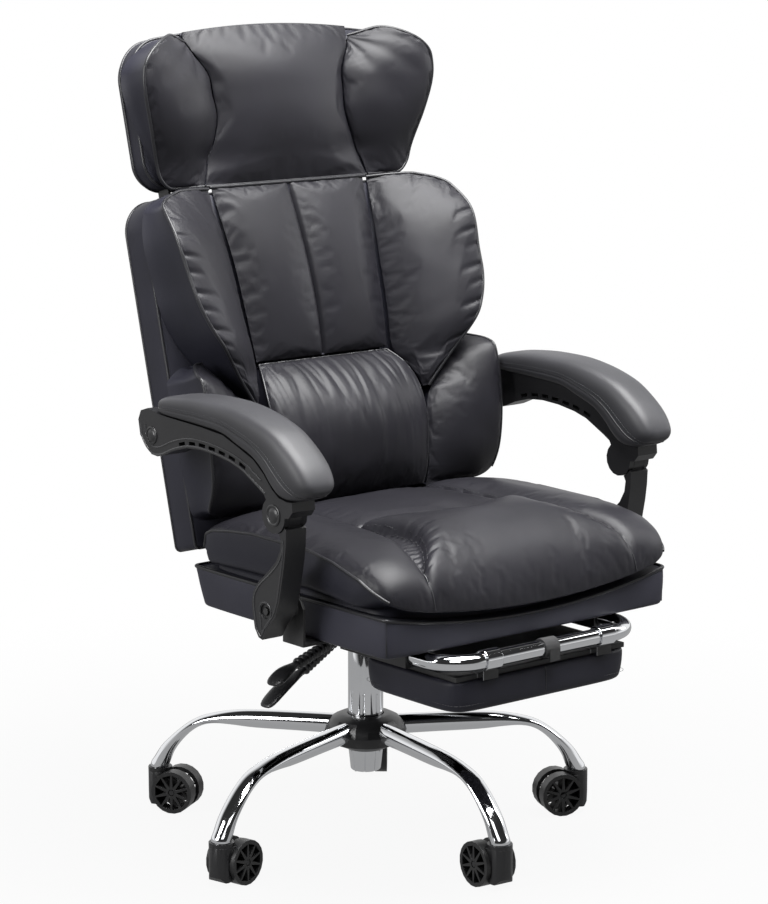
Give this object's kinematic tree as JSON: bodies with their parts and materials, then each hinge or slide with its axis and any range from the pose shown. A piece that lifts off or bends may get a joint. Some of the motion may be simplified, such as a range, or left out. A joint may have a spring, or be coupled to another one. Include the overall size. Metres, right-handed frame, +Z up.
{
  "type": "reclining_office_chair",
  "caption": "High-backed office chair in black leatherette with a reclining back, parallelogram armrests, a pull-out flip-over footrest and a chromed five-star base on casters",
  "frame": {"origin": "On the floor under the middle of the chair's bounding box, with the backrest upright, the gas lift down and the footrest in. The swivel axis stands 51.7 mm behind it.", "axes": "+Z is up, the sitter faces -Y, and +X is the sitter's left"},
  "size_m": [0.6636, 0.6834, 1.1278],
  "materials": {
    "leather": "smooth black leatherette of the cushions, with a soft sheen",
    "border_leather": "black leatherette of the boxed borders and shells",
    "chrome": "bright chromed steel tube",
    "black_plastic": "satin black moulded plastic",
    "black_steel": "black powder-coated steel",
    "plywood": "plain plywood seat board",
    "webbing": "black woven webbing"
  },
  "bodies": {
    "base": {"base_hub": "black_steel", "base_leg_1": "chrome", "base_leg_2": "chrome", "base_leg_3": "chrome", "base_leg_4": "chrome", "base_leg_5": "chrome", "hub_cover": "black_plastic", "lift_column": "chrome"},
    "lift": {"lift_piston": "chrome"},
    "seat": {"tilt_mechanism": "black_steel", "seat_board": "plywood", "seat_box": "border_leather", "seat_cushion": "leather", "footrest_guide_left": "black_plastic", "footrest_guide_right": "black_plastic", "recline_bracket_left": "black_steel", "recline_bracket_right": "black_steel", "seat_arm_bracket_left": "black_steel", "seat_arm_bracket_right": "black_steel"},
    "backrest": {"back_frame": "black_steel", "back_shell": "border_leather", "back_center": "leather", "lumbar_cushion": "leather", "headrest_shell": "border_leather", "headrest_center": "leather", "back_wing_left": "leather", "back_wing_right": "leather", "back_bolster_left": "leather", "back_bolster_right": "leather", "headrest_wing_left": "leather", "headrest_wing_right": "leather"},
    "footrest_loop": {"footrest_tube": "chrome"},
    "footrest_pad": {"footrest_board": "black_steel", "footrest_cushion": "border_leather", "footrest_strap": "webbing"},
    "height_lever_arm": {"height_lever": "black_plastic"},
    "recline_lever_arm": {"recline_lever": "black_plastic"},
    "post_left": {"arm_post_left": "black_plastic"},
    "armrest_left": {"arm_frame_left": "black_plastic", "arm_pad_left": "leather"},
    "post_right": {"arm_post_right": "black_plastic"},
    "armrest_right": {"arm_frame_right": "black_plastic", "arm_pad_right": "leather"},
    "caster_1": {"caster_fork_1": "black_plastic"},
    "wheel_1a": {"caster_wheel_1a": "black_plastic"},
    "wheel_1b": {"caster_wheel_1b": "black_plastic"},
    "caster_2": {"caster_fork_2": "black_plastic"},
    "wheel_2a": {"caster_wheel_2a": "black_plastic"},
    "wheel_2b": {"caster_wheel_2b": "black_plastic"},
    "caster_3": {"caster_fork_3": "black_plastic"},
    "wheel_3a": {"caster_wheel_3a": "black_plastic"},
    "wheel_3b": {"caster_wheel_3b": "black_plastic"},
    "caster_4": {"caster_fork_4": "black_plastic"},
    "wheel_4a": {"caster_wheel_4a": "black_plastic"},
    "wheel_4b": {"caster_wheel_4b": "black_plastic"},
    "caster_5": {"caster_fork_5": "black_plastic"},
    "wheel_5a": {"caster_wheel_5a": "black_plastic"},
    "wheel_5b": {"caster_wheel_5b": "black_plastic"}
  },
  "joints": [
    {"name": "height", "type": "slide", "parent": "base", "child": "lift", "axis": [0, 0, 1], "range_m": [0, 0.1]},
    {"name": "swivel", "type": "hinge", "parent": "lift", "child": "seat", "pos_m": [0, 0.0517, 0.34], "axis": [0, 0, 1], "continuous": true},
    {"name": "recline", "type": "hinge", "parent": "seat", "child": "backrest", "pos_m": [0, 0.1297, 0.472], "axis": [-1, 0, 0], "range_deg": [0, 31]},
    {"name": "post_lean_left", "type": "hinge", "parent": "seat", "child": "post_left", "pos_m": [0.3055, -0.1383, 0.405], "axis": [-1, 0, 0], "range_deg": [0, 31]},
    {"name": "armrest_level_left", "type": "hinge", "parent": "post_left", "child": "armrest_left", "pos_m": [0.3055, -0.1593, 0.536], "axis": [-1, 0, 0], "range_deg": [-31, 0]},
    {"name": "post_lean_right", "type": "hinge", "parent": "seat", "child": "post_right", "pos_m": [-0.3055, -0.1383, 0.405], "axis": [-1, 0, 0], "range_deg": [0, 31]},
    {"name": "armrest_level_right", "type": "hinge", "parent": "post_right", "child": "armrest_right", "pos_m": [-0.3055, -0.1593, 0.536], "axis": [-1, 0, 0], "range_deg": [-31, 0]},
    {"name": "footrest_slide", "type": "slide", "parent": "seat", "child": "footrest_loop", "axis": [0, -1, 0], "range_m": [0, 0.26]},
    {"name": "footrest_flip", "type": "hinge", "parent": "footrest_loop", "child": "footrest_pad", "pos_m": [0, -0.3273, 0.343], "axis": [-1, 0, 0], "range_deg": [0, 180]},
    {"name": "height_pull", "type": "hinge", "parent": "seat", "child": "height_lever_arm", "pos_m": [-0.0498, -0.0063, 0.326], "axis": [0, 1, 0], "range_deg": [0, 4]},
    {"name": "recline_pull", "type": "hinge", "parent": "seat", "child": "recline_lever_arm", "pos_m": [-0.0498, 0.0117, 0.322], "axis": [0, 1, 0], "range_deg": [0, 4]},
    {"name": "caster_turn_1", "type": "hinge", "parent": "base", "child": "caster_1", "pos_m": [0.20802, 0.29354, 0.07], "axis": [0, 0, 1], "continuous": true},
    {"name": "wheel_spin_1a", "type": "hinge", "parent": "caster_1", "child": "wheel_1a", "pos_m": [0.17881, 0.28305, 0.031], "axis": [-0.7581, 0.6521, 0], "continuous": true},
    {"name": "wheel_spin_1b", "type": "hinge", "parent": "caster_1", "child": "wheel_1b", "pos_m": [0.20201, 0.2631, 0.031], "axis": [-0.7581, 0.6521, 0], "continuous": true},
    {"name": "caster_turn_2", "type": "hinge", "parent": "base", "child": "caster_2", "pos_m": [0.29429, -0.0714, 0.07], "axis": [0, 0, 1], "continuous": true},
    {"name": "wheel_spin_2a", "type": "hinge", "parent": "caster_2", "child": "wheel_2a", "pos_m": [0.27529, -0.04687, 0.031], "axis": [0.3859, 0.9225, 0], "continuous": true},
    {"name": "wheel_spin_2b", "type": "hinge", "parent": "caster_2", "child": "wheel_2b", "pos_m": [0.26348, -0.0751, 0.031], "axis": [0.3859, 0.9225, 0], "continuous": true},
    {"name": "caster_turn_3", "type": "hinge", "parent": "base", "child": "caster_3", "pos_m": [-0.02614, -0.26623, 0.07], "axis": [0, 0, 1], "continuous": true},
    {"name": "wheel_spin_3a", "type": "hinge", "parent": "caster_3", "child": "wheel_3a", "pos_m": [-0.00868, -0.24057, 0.031], "axis": [0.9966, -0.0819, 0], "continuous": true},
    {"name": "wheel_spin_3b", "type": "hinge", "parent": "caster_3", "child": "wheel_3b", "pos_m": [-0.03917, -0.23806, 0.031], "axis": [0.9966, -0.0819, 0], "continuous": true},
    {"name": "caster_turn_4", "type": "hinge", "parent": "base", "child": "caster_4", "pos_m": [-0.31044, -0.02169, 0.07], "axis": [0, 0, 1], "continuous": true},
    {"name": "wheel_spin_4a", "type": "hinge", "parent": "caster_4", "child": "wheel_4a", "pos_m": [-0.28065, -0.03036, 0.031], "axis": [0.23, -0.9732, 0], "continuous": true},
    {"name": "wheel_spin_4b", "type": "hinge", "parent": "caster_4", "child": "wheel_4b", "pos_m": [-0.28769, -0.00058, 0.031], "axis": [0.23, -0.9732, 0], "continuous": true},
    {"name": "caster_turn_5", "type": "hinge", "parent": "base", "child": "caster_5", "pos_m": [-0.16573, 0.32427, 0.07], "axis": [0, 0, 1], "continuous": true},
    {"name": "wheel_spin_5a", "type": "hinge", "parent": "caster_5", "child": "wheel_5a", "pos_m": [-0.16477, 0.29325, 0.031], "axis": [-0.8545, -0.5195, 0], "continuous": true},
    {"name": "wheel_spin_5b", "type": "hinge", "parent": "caster_5", "child": "wheel_5b", "pos_m": [-0.13863, 0.30915, 0.031], "axis": [-0.8545, -0.5195, 0], "continuous": true}
  ],
  "couplings": [
    {"joint": "post_lean_left", "follows": "recline", "ratio": 1},
    {"joint": "armrest_level_left", "follows": "recline", "ratio": -1},
    {"joint": "post_lean_right", "follows": "recline", "ratio": 1},
    {"joint": "armrest_level_right", "follows": "recline", "ratio": -1}
  ]
}
